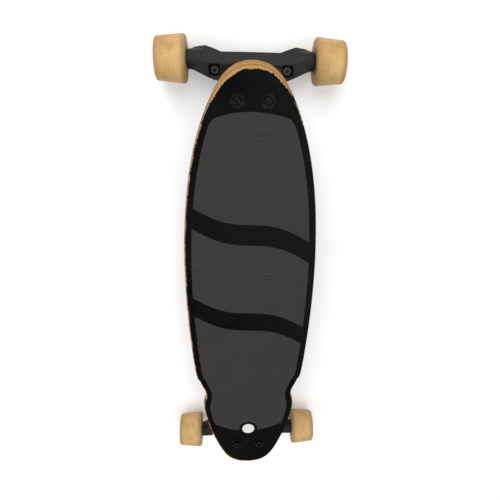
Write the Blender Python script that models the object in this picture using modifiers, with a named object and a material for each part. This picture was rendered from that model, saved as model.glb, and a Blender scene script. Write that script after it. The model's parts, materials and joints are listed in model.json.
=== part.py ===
"""Longboard skateboard: laminated deck with grip sheets on two sprung trucks and four wheels.

Metres, +Z up, +Y towards the nose, +X to the right. The origin lies on the ground under the
middle of the board. The two trucks are alike and face opposite ways.
"""
from math import cos, pi, radians, sin

import bmesh
import bpy
from mathutils import Matrix, Vector

MM = 0.001
GAP = 0.3 * MM
MERGE = 0.02 * MM

# Wheels: urethane tyre on a hub core with two bearings
OVERALL_WIDTH = 271.0 * MM
WHEEL_RADIUS = 33.7 * MM
WHEEL_OUTER_RADIUS = 30.4 * MM
WHEEL_WIDTH = 43.9 * MM
WHEEL_LIP = 4.0 * MM
TYRE_INNER_FLARE = 5.0 * MM
TYRE_OUTER_FLARE = 3.0 * MM
TYRE_OUTER_DIP = 1.0 * MM
CORE_RADIUS = 17.0 * MM
CORE_INNER_RECESS = 2.5 * MM
CORE_OUTER_RECESS = 6.0 * MM
BEARING_RADIUS = 11.0 * MM
BEARING_WIDTH = 7.0 * MM
BEARING_LAND = 2.2 * MM
INNER_BEARING_RECESS = 1.3 * MM
OUTER_BEARING_RECESS = 10.0 * MM

# Axles
AXLE_RADIUS = 3.95 * MM
AXLE_NUT_LENGTH = 6.5 * MM
AXLE_NUT_RADIUS = 7.4 * MM
AXLE_TIP = 1.5 * MM
SPEED_WASHER = 1.0 * MM

# Deck and grip, with the edge rounded at the sides and worn to a chamfer at the nose
BOLT_ROW_TO_ROW = 627.0 * MM
AXLE_PAST_BOLTS = 44.3 * MM
AXLE_BELOW_DECK_TOP = 81.0 * MM
DECK_WIDTH = 204.0 * MM
DECK_THICKNESS = 11.0 * MM
DECK_EDGE_ROUND = 1.5 * MM
NOSE_CHAMFER = 8.0 * MM
NOSE_CHAMFER_LENGTH = 60.0 * MM
NOSE_PAST_BOLTS = 50.5 * MM
TAIL_PAST_BOLTS = 48.5 * MM
GRIP_THICKNESS = 1.0 * MM
GRIP_MARGIN = 11.5 * MM
GRIP_BEHIND_NOSE_BOLTS = 14.0 * MM
GRIP_BEFORE_TAIL_BOLTS = 34.0 * MM
GRIP_NOSE_ARC = 150.0 * MM
GRIP_TAIL_ARC = 102.0 * MM
BAND_WIDTH = 34.0 * MM
BAND_TILT = 30.0 * MM
BAND_WAVE = 9.0 * MM
UPPER_BAND_Y = 118.0 * MM
LOWER_BAND_Y = -38.0 * MM
BADGE_RADIUS = 11.0 * MM
BADGE_THICKNESS = 0.8 * MM
BADGE_BEFORE_TAIL_BOLTS = 38.5 * MM
BADGE_NOTCH_RADIUS = 17.0 * MM

# Side of the deck between its tip and its broad middle: half width, then distance inboard of the
# nearer row of bolts. The tail's side has a waist that clears the wheels. At either end of the
# broad middle each side lies a little inside the widest place.
NOSE_SIDE = ((38 * MM, -33.5 * MM), (70 * MM, 28.5 * MM), (91 * MM, 113.5 * MM))
BROAD_FROM_NOSE_BOLTS = 218.5 * MM
BROAD_FROM_TAIL_BOLTS = 293.5 * MM
BROAD_DROP = 1.0 * MM
TAIL_SIDE = ((93 * MM, 175.5 * MM), (85 * MM, 148.5 * MM), (76 * MM, 121.5 * MM), (80 * MM, 88.5 * MM),
             (66 * MM, 26.5 * MM), (38 * MM, -33.5 * MM))

# Truck bolts, riser pad and baseplate
BOLT_SPACING_X = 41.3 * MM
BOLT_SPACING_Y = 54.0 * MM
BOLT_RADIUS = 2.4 * MM
BOLT_CLEARANCE = 0.5 * MM
BOLT_TIP = 2.0 * MM
BOLT_HEAD_RADIUS = 6.0 * MM
BOLT_CROWN_RADIUS = 3.6 * MM
BOLT_SHOULDER_RADIUS = 5.4 * MM
BOLT_HEAD_HEIGHT = 4.0 * MM
BOLT_HEAD_FALL = 1.3 * MM
HEX_SOCKET_RADIUS = 2.2 * MM
HEX_SOCKET_DEPTH = 2.5 * MM
BOLT_WASHER_RADIUS = 10.5 * MM
BOLT_WASHER_HEIGHT = 1.0 * MM
SUNK_HEAD_RADIUS = 4.6 * MM
SUNK_HEAD_DEPTH = 3.0 * MM
LOCK_NUT_HEIGHT = 5.0 * MM
RISER_THICKNESS = 3.0 * MM
BASE_THICKNESS = 6.0 * MM
BASE_MARGIN = 12.0 * MM
BASE_WIDTH = 62.0 * MM
ROOT_OVERLAP = 1.5 * MM
LEG_HALF_WIDTH = 11.0 * MM
LEG_ROOT_HALF_WIDTH = 17.6 * MM
LEG_BEFORE_PIVOT = 5.0 * MM
LEG_BEHIND_PIVOT = 16.0 * MM
LEG_ROOT_SPREAD = 6.0 * MM
LEG_BELOW_PIVOT = 11.9 * MM

# Steering: the hanger's ring and pivot nose turn about an axis that rises outboard, and the
# kingpin crosses it at right angles through the ring's middle
STEER_ANGLE = radians(40.0)
RING_INBOARD = 30.0 * MM
RING_HEIGHT = 62.0 * MM
RING_RADIUS = 15.0 * MM
RING_BORE = 7.6 * MM
RING_THICKNESS = 10.0 * MM
PIVOT_LENGTH = 38.0 * MM
PIVOT_RADIUS = 5.5 * MM
PIVOT_TIP = 6.0 * MM
PIVOT_TIP_CHAMFER = 1.0 * MM
PIVOT_TAPER = 7.0 * MM
PIVOT_BARE = 7.0 * MM
PIVOT_NECK_RADIUS = 8.0 * MM
PIVOT_ROOT_RADIUS = 9.0 * MM
PIVOT_ROOT = 8.0 * MM
PIVOT_CUP_WALL = 2.5 * MM
PIVOT_CUP_DEPTH = 8.0 * MM
PIVOT_CUP_MOUTH = 4.0 * MM
KINGPIN_RADIUS = 4.7 * MM
KINGPIN_HEAD_RADIUS = 7.2 * MM
KINGPIN_HEAD_HEIGHT = 5.0 * MM
KINGPIN_HEAD_SUNK = 12.5 * MM
KINGPIN_TIP = 1.5 * MM
KINGPIN_NUT_HEIGHT = 7.0 * MM
KINGPIN_NUT_RADIUS = 8.2 * MM
KINGPIN_BOSS_WALL = 1.5 * MM
BUSHING_RADIUS = 12.5 * MM
BUSHING_WAIST_RADIUS = 10.7 * MM
BUSHING_WAIST_LENGTH = 3.0 * MM
ROAD_BUSHING_END_RADIUS = 10.0 * MM
BUSHING_CHAMFER = 1.0 * MM
BUSHING_ROOM = 2.6 * MM
BOARD_BUSHING_HEIGHT = 14.0 * MM
ROAD_BUSHING_HEIGHT = 10.0 * MM
CUP_WASHER_HEIGHT = 1.8 * MM
NUT_ROOM = 28.0 * MM
RING_SINK = 2.0 * MM

# Hanger. Each wing's row: inboard of the hanger's end, then front edge, ridge and back edge
# outboard of the axle, then the ridge's height. The middle's row is the same without the first.
WING = ((57.0, 11.3, -4.0, -12.0, 46.4), (48.8, 11.2, -4.0, -30.0, 46.5), (36.3, 16.0, -2.0, -26.0, 48.0),
        (26.1, 19.2, 0.0, -21.4, 48.5), (12.3, 17.0, 5.0, -15.0, 47.8), (4.8, 14.0, 8.0, -11.8, 46.5))
WING_MIDDLE = (11.5, -3.0, -8.5, 46.0)
WING_BOTTOM = 21.0 * MM
WING_FRONT_EDGE = 6.0 * MM
WING_BACK_DROP = 3.0 * MM
WING_BACK_LIP = 3.0 * MM
WING_DRAFT = 4.0 * MM
COLLAR_RADIUS = 14.0 * MM
COLLAR_LENGTH = 21.0 * MM
ARM_START = 31.0 * MM
ARM_START_BACK = 23.0 * MM
ARM_START_TOP = 43.5 * MM
ARM_START_WIDTH = 13.0 * MM
ARM_START_DEPTH = 12.0 * MM
ARM_END_X = 11.0 * MM
ARM_END = ((-26.0, -11.0), (-28.0, -2.0), (-38.0, 4.0), (-40.0, -8.0))
BUFFER_INBOARD_OF_END = 39.3 * MM
BUFFER_BEHIND_AXLE = 13.0 * MM
BUFFER_RADIUS = 5.5 * MM
BUFFER_HEIGHT = 6.0 * MM
BUFFER_FLOOR = 36.0 * MM
POCKET_CLEARANCE = 1.9 * MM

# How many flats go round each kind of piece; the ring's bore is turned so that its flats don't
# meet those of the rooms that cross it
OUTLINE_STEPS = 4
TYRE_STEPS = 40
CORE_STEPS = 22
BUSHING_STEPS = 22
BOLT_STEPS = 12
PIN_STEPS = 20
BOSS_STEPS = 24
ROOM_STEPS = 28
RING_STEPS = 32
RING_BORE_STEPS = 26
FACET_TURN = radians(3.7)

# Worked out from the values above
DECK_TOP = WHEEL_RADIUS + AXLE_BELOW_DECK_TOP
DECK_BOTTOM = DECK_TOP - DECK_THICKNESS
AXLE_Y = BOLT_ROW_TO_ROW / 2 + AXLE_PAST_BOLTS
BASE_Y = BOLT_ROW_TO_ROW / 2 - BOLT_SPACING_Y / 2
RISER_TOP = DECK_BOTTOM - GAP
BASE_TOP = RISER_TOP - RISER_THICKNESS - GAP
BASE_BOTTOM = BASE_TOP - BASE_THICKNESS
WHEEL_OUTSIDE = OVERALL_WIDTH / 2
WHEEL_INSIDE = WHEEL_OUTSIDE - WHEEL_WIDTH
INNER_BEARING = WHEEL_INSIDE + INNER_BEARING_RECESS
OUTER_BEARING = WHEEL_OUTSIDE - OUTER_BEARING_RECESS - BEARING_WIDTH
AXLE_NUT = OUTER_BEARING + BEARING_WIDTH + GAP + SPEED_WASHER + GAP
HANGER_END = INNER_BEARING - GAP - SPEED_WASHER - GAP
BADGE_Y = BADGE_BEFORE_TAIL_BOLTS - BOLT_ROW_TO_ROW / 2
PAST_EDGE = DECK_WIDTH / 2 + GRIP_MARGIN
PAST_ENDS = BOLT_ROW_TO_ROW / 2 + NOSE_PAST_BOLTS + TAIL_PAST_BOLTS


def collection(name):
    made = bpy.data.collections.new(name)
    bpy.context.scene.collection.children.link(made)
    return made


for old in list(bpy.data.objects):
    bpy.data.objects.remove(old, do_unlink=True)
PARTS = collection("longboard_skateboard")
CUTTERS = collection("cutters")


def material(name, colour, roughness, metallic=0.0):
    made = bpy.data.materials.new(name)
    made.use_nodes = True
    shader = made.node_tree.nodes["Principled BSDF"]
    shader.inputs["Base Color"].default_value = (*colour, 1.0)
    shader.inputs["Roughness"].default_value = roughness
    shader.inputs["Metallic"].default_value = metallic
    return made


LACQUER = material("black_lacquered_maple", (0.012, 0.012, 0.012), 0.3)
GRIP = material("grip_rubber", (0.045, 0.042, 0.04), 0.9)
PLASTIC = material("black_moulded_plastic", (0.015, 0.015, 0.015), 0.55)
BADGE = material("white_enamel", (0.75, 0.75, 0.73), 0.35)
CAST = material("black_painted_casting", (0.02, 0.019, 0.02), 0.55)
STEEL = material("zinc_plated_steel", (0.5, 0.5, 0.48), 0.35, 1.0)
BLACK_STEEL = material("black_oxide_steel", (0.03, 0.03, 0.03), 0.4, 1.0)
URETHANE = material("aged_urethane", (0.78, 0.62, 0.36), 0.45)
CORE = material("hub_plastic", (0.5, 0.42, 0.28), 0.5)
BUSH = material("bushing_urethane", (0.12, 0.06, 0.035), 0.5)


def place(origin, direction):
    """Matrix that puts local Z along direction at origin."""
    turn = Vector(direction).normalized().to_track_quat("Z", "Y").to_matrix().to_4x4()
    return Matrix.Translation(Vector(origin)) @ turn


def add(name, mesh, finish, matrix=None):
    thing = bpy.data.objects.new(name, mesh)
    PARTS.objects.link(thing)
    if matrix is not None:
        thing.matrix_world = matrix
    if finish is not None:
        mesh.materials.append(finish)
    return thing


def boolean(thing, other, operation):
    """Cut or join with another object, which goes to the cutters."""
    PARTS.objects.unlink(other)
    CUTTERS.objects.link(other)
    other.hide_render = True
    other.display_type = "WIRE"
    step = thing.modifiers.new(operation.lower(), "BOOLEAN")
    step.operation = operation
    step.solver = "EXACT"
    step.object = other


def turned(name, profile, steps, finish, matrix, ring=False):
    """Turn (radius, height) points about local Z; a ring's profile closes on itself."""
    mesh = bpy.data.meshes.new(name)
    points = [(radius, 0, height) for radius, height in profile]
    edges = [(i, i + 1) for i in range(len(points) - 1)]
    if ring:
        edges.append((len(points) - 1, 0))
    mesh.from_pydata(points, edges, [])
    thing = add(name, mesh, finish, matrix)
    screw = thing.modifiers.new("turn", "SCREW")
    screw.axis = "Z"
    screw.angle = 2 * pi
    screw.steps = steps
    screw.render_steps = steps
    screw.use_merge_vertices = True
    screw.merge_threshold = MERGE
    screw.use_smooth_shade = True
    return thing


def disc(name, radius, low, high, steps, finish, matrix):
    """Round bar along local Z, with a corner of its flats on +X."""
    mesh = bpy.data.meshes.new(name)
    shape = bmesh.new()
    spot = Matrix.Translation((0, 0, (low + high) / 2)) @ Matrix.Rotation(-pi / 2, 4, "Z")
    bmesh.ops.create_cone(shape, cap_ends=True, segments=steps, radius1=radius, radius2=radius,
                          depth=high - low, matrix=spot)
    shape.to_mesh(mesh)
    shape.free()
    mesh.shade_smooth()
    mesh.set_sharp_from_angle(angle=pi / 4)
    return add(name, mesh, finish, matrix)


def tube(name, outer, inner, low, high, steps, finish, matrix):
    profile = ((outer, high), (outer, low), (inner, low), (inner, high))
    return turned(name, profile, steps, finish, matrix, ring=True)


def hex_nut(name, corner, shaft, low, high, finish, matrix):
    """Six-sided nut whose flat-sided bore clears a round shaft."""
    return tube(name, corner, (shaft + GAP) / cos(pi / 6), low, high, 6, finish, matrix)


def block(name, low, high, finish):
    """Box between two corners, given in any order."""
    low, high = Vector(low), Vector(high)
    size = Matrix.Diagonal([abs(side) for side in high - low]).to_4x4()
    mesh = bpy.data.meshes.new(name)
    shape = bmesh.new()
    bmesh.ops.create_cube(shape, size=1, matrix=Matrix.Translation((low + high) / 2) @ size)
    shape.to_mesh(mesh)
    shape.free()
    return add(name, mesh, finish)


def loft(name, rings, finish, open_start=False):
    """Solid through rings of equal count, capped at both ends or left open at the first."""
    mesh = bpy.data.meshes.new(name)
    count = len(rings[0])
    faces = [] if open_start else [tuple(range(count))]
    for step in range(len(rings) - 1):
        base = step * count
        for i in range(count):
            j = (i + 1) % count
            faces.append((base + i, base + count + i, base + count + j, base + j))
    last = (len(rings) - 1) * count
    faces.append(tuple(last + i for i in reversed(range(count))))
    mesh.from_pydata([tuple(point) for ring in rings for point in ring], [], faces)
    thing = add(name, mesh, finish)
    if open_start:
        mirror = thing.modifiers.new("other_side", "MIRROR")
        mirror.merge_threshold = MERGE
    shape = bmesh.new()
    shape.from_mesh(mesh)
    bmesh.ops.recalc_face_normals(shape, faces=shape.faces)
    shape.to_mesh(mesh)
    shape.free()
    return thing


def sheet(name, outline, low, thickness, finish):
    """Flat outline at a height, thickened upwards."""
    mesh = bpy.data.meshes.new(name)
    mesh.from_pydata([(x, y, low) for x, y in outline], [], [tuple(range(len(outline)))])
    if mesh.polygons[0].normal.z < 0:
        mesh.flip_normals()
    thing = add(name, mesh, finish)
    wall = thing.modifiers.new("thickness", "SOLIDIFY")
    wall.thickness = thickness
    wall.offset = 1
    return thing


def smooth_loop(corners, per_span):
    """Closed Catmull-Rom curve through the corners."""
    out = []
    count = len(corners)
    for i in range(count):
        p0, p1, p2, p3 = (Vector(corners[(i + k - 1) % count]) for k in range(4))
        for step in range(per_span):
            t = step / per_span
            out.append(0.5 * (2 * p1 + (p2 - p0) * t + (2 * p0 - 5 * p1 + 4 * p2 - p3) * t * t
                              + (3 * p1 - p0 - 3 * p2 + p3) * t ** 3))
    return out


def deck_outline():
    """Clockwise curve from the nose's tip through both sides' stations."""
    bolts = BOLT_ROW_TO_ROW / 2
    broad = DECK_WIDTH / 2 - BROAD_DROP
    side = [(half, bolts - inboard) for half, inboard in NOSE_SIDE]
    side += [(broad, bolts - BROAD_FROM_NOSE_BOLTS), (broad, BROAD_FROM_TAIL_BOLTS - bolts)]
    side += [(half, inboard - bolts) for half, inboard in TAIL_SIDE]
    nose = [(0, bolts + NOSE_PAST_BOLTS)]
    tail = [(0, -bolts - TAIL_PAST_BOLTS)]
    return smooth_loop(nose + side + tail + [(-x, y) for x, y in reversed(side)], OUTLINE_STEPS)


def inset(loop, distance):
    """Move each point of a clockwise loop inwards by distance(point)."""
    moved = []
    for i, point in enumerate(loop):
        along = (loop[(i + 1) % len(loop)] - loop[i - 1]).normalized()
        moved.append(point - Vector((-along.y, along.x)) * distance(point))
    return moved


def deck():
    loop = deck_outline()
    nose = loop[0].y

    def edge(point):
        near_nose = max(0.0, 1 - (nose - point.y) / NOSE_CHAMFER_LENGTH)
        return DECK_EDGE_ROUND + (NOSE_CHAMFER - DECK_EDGE_ROUND) * near_nose

    def ring(points, height):
        return [(point.x, point.y, height) for point in points]

    rings = [ring(inset(loop, lambda point: DECK_EDGE_ROUND), DECK_BOTTOM),
             ring(loop, DECK_BOTTOM + DECK_EDGE_ROUND),
             ring(loop, DECK_BOTTOM + 2 * DECK_EDGE_ROUND),
             ring(inset(loop, edge), DECK_TOP)]
    return loft("deck", rings, LACQUER)


def grip_outline():
    """The deck's outline drawn in by the margin, and cut by a shallow arc at each end."""
    nose_end = BOLT_ROW_TO_ROW / 2 - GRIP_BEHIND_NOSE_BOLTS
    tail_end = GRIP_BEFORE_TAIL_BOLTS - BOLT_ROW_TO_ROW / 2
    points = []
    for point in inset(deck_outline(), lambda point: GRIP_MARGIN):
        nose_arc = nose_end - point.x ** 2 / (2 * GRIP_NOSE_ARC)
        tail_arc = tail_end + point.x ** 2 / (2 * GRIP_TAIL_ARC)
        points.append((point.x, max(tail_arc, min(nose_arc, point.y))))
    return points


def band_edge(x, middle, side):
    """Edge of a slanted band: a line across the board with one long wave in it."""
    share = x / (DECK_WIDTH / 2 - GRIP_MARGIN)
    return middle - BAND_TILT * share + BAND_WAVE * sin(pi * share) + side * BAND_WIDTH / 2


def grip_sheet(name, outline, low_curve, high_curve):
    """Part of the grip between two curves given as functions of x."""
    piece = sheet(name, outline, DECK_TOP + GAP, GRIP_THICKNESS, GRIP)
    steps = 16
    xs = [PAST_EDGE * (2 * i / steps - 1) for i in range(steps + 1)]
    loop = [(x, low_curve(x)) for x in xs] + [(x, high_curve(x)) for x in reversed(xs)]
    limit = sheet(name + "_limit", loop, DECK_TOP - GRIP_THICKNESS, 4 * GRIP_THICKNESS, None)
    boolean(piece, limit, "INTERSECT")
    return piece


def grip():
    outline = grip_outline()

    def upper(side):
        return lambda x: band_edge(x, UPPER_BAND_Y, side)

    def lower(side):
        return lambda x: band_edge(x, LOWER_BAND_Y, side)

    grip_sheet("grip_front", outline, upper(1), lambda x: PAST_ENDS)
    grip_sheet("grip_middle", outline, lower(1), upper(-1))
    rear = grip_sheet("grip_rear", outline, lambda x: -PAST_ENDS, lower(-1))
    spot = Matrix.Translation((0, BADGE_Y, DECK_TOP))
    notch = disc("badge_notch", BADGE_NOTCH_RADIUS, -GRIP_THICKNESS, 4 * GRIP_THICKNESS, RING_STEPS, None,
                 spot)
    boolean(rear, notch, "DIFFERENCE")
    disc("badge_disc", BADGE_RADIUS, GAP, GAP + BADGE_THICKNESS, RING_STEPS, BADGE, spot)


def bolt_places(side):
    """Label, x, y and whether it is in the outer row, for the four bolts of one truck."""
    out = []
    for row, row_name in ((1, "outer"), (-1, "inner")):
        for half, half_name in ((-1, "left"), (1, "right")):
            y = side * (BASE_Y + row * BOLT_SPACING_Y / 2)
            out.append((row_name + "_" + half_name, half * BOLT_SPACING_X / 2, y, row > 0))
    return out


class Truck:
    """One truck; side is 1 at the nose and -1 at the tail."""

    def __init__(self, label, side):
        self.label = label
        self.side = side
        self.axle = Vector((0, side * AXLE_Y, WHEEL_RADIUS))
        self.ring = Vector((0, side * (AXLE_Y - RING_INBOARD), RING_HEIGHT))
        self.steer = Vector((0, side * cos(STEER_ANGLE), sin(STEER_ANGLE)))
        self.pin = Vector((0, side * sin(STEER_ANGLE), -cos(STEER_ANGLE)))
        self.pivot = self.ring - self.steer * PIVOT_LENGTH
        self.ring_frame = place(self.ring, self.pin)
        # Along the kingpin from the ring's middle: where the pin's line leaves the baseplate's top
        self.pin_top = -(BASE_TOP - RING_HEIGHT) / cos(STEER_ANGLE)
        self.steering = bpy.data.objects.new(self.name("steering"), None)
        self.steering.location = self.ring
        PARTS.objects.link(self.steering)

    def name(self, piece):
        return self.label + "_" + piece

    def ride(self, thing):
        """Hang a piece that steers from the empty on the steering axis, where it stands."""
        thing.parent = self.steering
        thing.matrix_parent_inverse = Matrix.Translation(-self.ring)

    def at(self, x, outboard, height):
        """Point at x, outboard of the axle line, at a height above the ground."""
        return Vector((x, self.side * (AXLE_Y + outboard), height))

    def outer_bolt(self, label, spot):
        """Domed socket head on a wide washer."""
        washer_top = DECK_TOP + GAP + BOLT_WASHER_HEIGHT
        tube(self.name("washer_" + label), BOLT_WASHER_RADIUS, BOLT_RADIUS + BOLT_CLEARANCE,
             DECK_TOP + GAP, washer_top, PIN_STEPS, BLACK_STEEL, spot)
        seat = washer_top + GAP
        crown = seat + BOLT_HEAD_HEIGHT
        floor = crown - HEX_SOCKET_DEPTH
        shoulder = crown - BOLT_HEAD_FALL
        return ((0, floor), (HEX_SOCKET_RADIUS, floor), (HEX_SOCKET_RADIUS, crown),
                (BOLT_CROWN_RADIUS, crown), (BOLT_SHOULDER_RADIUS, shoulder),
                (BOLT_HEAD_RADIUS, shoulder - BOLT_HEAD_FALL), (BOLT_HEAD_RADIUS, seat), (BOLT_RADIUS, seat))

    def inner_bolt(self, board, spot):
        """Flat head sunk in the deck, because the grip covers it."""
        crown = DECK_TOP - GAP
        wide = SUNK_HEAD_RADIUS + BOLT_CLEARANCE
        floor = crown - SUNK_HEAD_DEPTH - 2 * GAP
        above = DECK_TOP + BOLT_TIP
        sink = ((0, above), (wide, above), (wide, crown), (BOLT_RADIUS, floor), (0, floor))
        boolean(board, turned("deck_sink", sink, BOLT_STEPS, None, spot), "DIFFERENCE")
        return (0, crown), (SUNK_HEAD_RADIUS, crown), (BOLT_RADIUS, crown - SUNK_HEAD_DEPTH)

    def fasteners(self, board):
        tip = BASE_BOTTOM - LOCK_NUT_HEIGHT - BOLT_TIP
        for label, x, y, outer in bolt_places(self.side):
            spot = Matrix.Translation((x, y, 0))
            hole = disc("deck_hole", BOLT_RADIUS + BOLT_CLEARANCE, DECK_BOTTOM - BOLT_TIP,
                        DECK_TOP + BOLT_TIP, BOLT_STEPS, None, spot)
            boolean(board, hole, "DIFFERENCE")
            head = self.outer_bolt(label, spot) if outer else self.inner_bolt(board, spot)
            turned(self.name("bolt_" + label), head + ((BOLT_RADIUS, tip), (0, tip)), BOLT_STEPS, BLACK_STEEL,
                   spot)

    def plate(self, name, low, high, finish):
        reach = BOLT_SPACING_Y / 2 + BASE_MARGIN
        return block(name, (-BASE_WIDTH / 2, self.side * BASE_Y - reach, low),
                     (BASE_WIDTH / 2, self.side * BASE_Y + reach, high), finish)

    def drill(self, thing):
        """The truck's four bolt holes."""
        for label, x, y, outer in bolt_places(self.side):
            hole = disc("bolt_hole", BOLT_RADIUS + BOLT_CLEARANCE, WHEEL_RADIUS, RISER_TOP + BOLT_TIP,
                        BOLT_STEPS, None, Matrix.Translation((x, y, 0)))
            boolean(thing, hole, "DIFFERENCE")

    def kingpin_boss(self):
        """Round boss down to the board side's cup washer, kept under the plate's top."""
        seat = -(RING_THICKNESS / 2 + GAP + BOARD_BUSHING_HEIGHT + GAP + CUP_WASHER_HEIGHT + GAP)
        boss = disc("kingpin_boss", BUSHING_RADIUS + KINGPIN_BOSS_WALL, self.pin_top - BUSHING_RADIUS, seat,
                    BOSS_STEPS, CAST, self.ring_frame)
        under = block("boss_limit", (-BASE_WIDTH, self.ring.y - BASE_WIDTH, 0),
                      (BASE_WIDTH, self.ring.y + BASE_WIDTH, BASE_TOP - ROOT_OVERLAP), None)
        boolean(boss, under, "INTERSECT")
        return boss

    def pivot_leg(self):
        """Leg that tapers down from the plate and holds the pivot cup."""
        front = self.pivot.y + self.side * LEG_BEFORE_PIVOT

        def level(half, back, height):
            return [(-half, back, height), (half, back, height), (half, front, height),
                    (-half, front, height)]

        back = self.pivot.y - self.side * LEG_BEHIND_PIVOT
        foot = level(LEG_HALF_WIDTH, back, self.pivot.z - LEG_BELOW_PIVOT)
        root = level(LEG_ROOT_HALF_WIDTH, back - self.side * LEG_ROOT_SPREAD, BASE_BOTTOM + ROOT_OVERLAP)
        return loft("pivot_leg", [foot, root], CAST)

    def baseplate(self):
        self.drill(self.plate(self.name("riser_pad"), RISER_TOP - RISER_THICKNESS, RISER_TOP, PLASTIC))
        whole = self.plate(self.name("baseplate"), BASE_BOTTOM, BASE_TOP, CAST)
        boolean(whole, self.kingpin_boss(), "UNION")
        boolean(whole, self.pivot_leg(), "UNION")
        along = place(self.pivot, self.steer)
        cup = PIVOT_RADIUS + GAP + PIVOT_CUP_WALL
        past = self.pin_top - 2 * BUSHING_RADIUS
        head_end = self.pin_top + KINGPIN_HEAD_SUNK
        head_room = KINGPIN_HEAD_RADIUS + 2 * GAP
        rooms = (("pivot_socket", cup + GAP, -PIVOT_CUP_DEPTH, PIVOT_LENGTH, BOSS_STEPS, along),
                 ("kingpin_bore", KINGPIN_RADIUS + GAP, past, RING_THICKNESS, PIN_STEPS, self.ring_frame),
                 ("kingpin_head_room", head_room, past, head_end, BOSS_STEPS, self.ring_frame))
        for label, radius, low, high, steps, frame in rooms:
            boolean(whole, disc(label, radius, low, high, steps, None, frame), "DIFFERENCE")
        self.drill(whole)
        tube(self.name("pivot_cup"), cup, PIVOT_RADIUS + GAP, GAP - PIVOT_CUP_DEPTH, PIVOT_CUP_MOUTH,
             BOSS_STEPS, PLASTIC, along)

    def kingpin(self):
        """Kingpin, its nut and the two bushings, from the ring's middle outwards."""
        half = RING_THICKNESS / 2 + GAP
        board_end = -(half + BOARD_BUSHING_HEIGHT)
        road_end = half + ROAD_BUSHING_HEIGHT
        nut = road_end + GAP + CUP_WASHER_HEIGHT + GAP
        tip = nut + KINGPIN_NUT_HEIGHT + KINGPIN_TIP
        head = self.pin_top + KINGPIN_HEAD_SUNK - GAP
        profile = ((0, tip), (KINGPIN_RADIUS, tip), (KINGPIN_RADIUS, head), (KINGPIN_HEAD_RADIUS, head),
                   (KINGPIN_HEAD_RADIUS, head - KINGPIN_HEAD_HEIGHT), (0, head - KINGPIN_HEAD_HEIGHT))
        turned(self.name("kingpin"), profile, PIN_STEPS, STEEL, self.ring_frame)
        hex_nut(self.name("kingpin_nut"), KINGPIN_NUT_RADIUS, KINGPIN_RADIUS, nut, nut + KINGPIN_NUT_HEIGHT,
                STEEL, self.ring_frame)
        bore = KINGPIN_RADIUS + GAP
        edge = BUSHING_RADIUS - BUSHING_CHAMFER
        barrel = ((BUSHING_WAIST_RADIUS, -half), (BUSHING_RADIUS, -half - BUSHING_WAIST_LENGTH),
                  (BUSHING_RADIUS, board_end + BUSHING_CHAMFER), (edge, board_end), (bore, board_end),
                  (bore, -half))
        turned(self.name("board_bushing"), barrel, BUSHING_STEPS, BUSH, self.ring_frame, ring=True)
        cone = ((ROAD_BUSHING_END_RADIUS, road_end), (BUSHING_RADIUS, half + BUSHING_CHAMFER), (edge, half),
                (bore, half), (bore, road_end))
        turned(self.name("road_bushing"), cone, BUSHING_STEPS, BUSH, self.ring_frame, ring=True)

    def wing_section(self, x, front, ridge, back, top):
        """Section across a wing: a sloped front face, a ridge, and a nearly flat face behind it."""
        return [self.at(x, front, WING_BOTTOM + WING_FRONT_EDGE), self.at(x, ridge, top),
                self.at(x, back, top - WING_BACK_DROP), self.at(x, back, WING_BOTTOM + WING_BACK_LIP),
                self.at(x, back + WING_DRAFT, WING_BOTTOM), self.at(x, front - WING_DRAFT, WING_BOTTOM)]

    def arm(self, end):
        """Arm from the wing up to the ring."""
        x = end * (HANGER_END - ARM_START)
        back = -ARM_START_BACK
        front = back + ARM_START_WIDTH
        low = ARM_START_TOP - ARM_START_DEPTH
        start = [self.at(x, front, low), self.at(x, front, ARM_START_TOP), self.at(x, back, ARM_START_TOP),
                 self.at(x, back, low)]
        finish = [self.at(end * ARM_END_X, outboard * MM, RING_HEIGHT + up * MM) for outboard, up in ARM_END]
        return loft("arm", [start, finish], CAST)

    def pivot_nose(self):
        """Tapered nose from the ring down the steering axis into the pivot cup."""
        neck = PIVOT_LENGTH - PIVOT_BARE - PIVOT_TAPER
        tip = PIVOT_LENGTH + PIVOT_TIP
        profile = ((0, -PIVOT_ROOT), (PIVOT_ROOT_RADIUS, -PIVOT_ROOT), (PIVOT_NECK_RADIUS, -neck),
                   (PIVOT_RADIUS, -neck - PIVOT_TAPER), (PIVOT_RADIUS, PIVOT_TIP_CHAMFER - tip), (0, -tip))
        return turned("pivot_nose", profile, BOSS_STEPS, CAST, place(self.ring, self.steer))

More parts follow.
